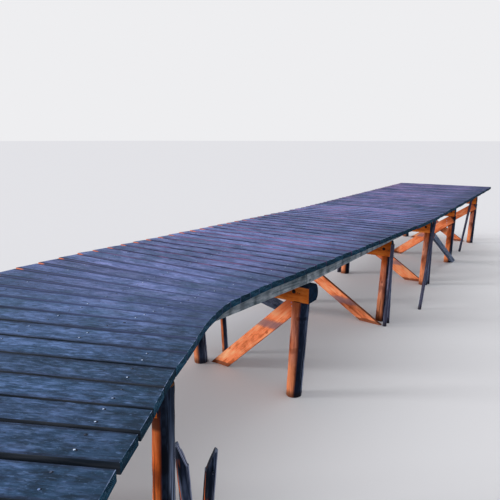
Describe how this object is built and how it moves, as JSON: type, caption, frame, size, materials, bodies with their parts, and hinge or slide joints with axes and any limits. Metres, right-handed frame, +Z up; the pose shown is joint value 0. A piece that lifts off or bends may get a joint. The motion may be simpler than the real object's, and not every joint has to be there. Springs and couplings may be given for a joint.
{
  "type": "wooden jetty",
  "caption": "Plank jetty with one bend: boards nailed across stringers, which rest on cap beams over rows of leaning log piles with diagonal braces.",
  "frame": {"origin": "centre of the foot of the right pile of the middle bent, at the water line", "axes": "+X along the main stretch away from the bend, +Y to its left, +Z up"},
  "size_m": [14.6274, 3.6478, 1.35],
  "materials": {
    "deck_board": "weathered, silvered and grained",
    "stringer": "weathered, with dark runs under the gaps",
    "cap": "rough sawn, warm brown",
    "pile": "round log, checked, dark at the water line",
    "brace": "rough sawn, warm brown",
    "grey_board": "weathered grey",
    "pole": "weathered brown-grey",
    "old_pile": "rotten, split and grey"
  },
  "bodies": {
    "root": {"deck_bay_1": "deck_board", "stringers_bay_1": "stringer", "deck_bay_2": "deck_board", "stringers_bay_2": "stringer", "deck_bay_3": "deck_board", "stringers_bay_3": "stringer", "deck_bay_4": "deck_board", "stringers_bay_4": "stringer", "deck_bay_5": "deck_board", "stringers_bay_5": "stringer", "deck_bay_6": "deck_board", "stringers_bay_6": "stringer", "cap_beam_1": "cap", "pile_right_1": "pile", "pile_left_1": "pile", "braces_1": "brace", "cap_beam_2": "cap", "pile_right_2": "pile", "pile_left_2": "pile", "braces_2": "brace", "cap_beam_3": "cap", "pile_right_3": "pile", "pile_left_3": "pile", "braces_3": "brace", "cap_beam_4": "cap", "pile_right_4": "pile", "pile_left_4": "pile", "braces_4": "brace", "cap_beam_5": "cap", "pile_right_5": "pile", "pile_left_5": "pile", "braces_5": "brace", "cap_beam_6": "cap", "pile_right_6": "pile", "pile_left_6": "pile", "braces_6": "brace", "cap_beam_7": "cap", "pile_right_7": "pile", "pile_left_7": "pile", "braces_7": "brace", "side_brace_bay_5": "grey_board", "side_brace_left_bay_3": "grey_board", "thin_poles": "pole", "raking_poles": "pole", "old_piles": "old_pile"}
  },
  "joints": []
}
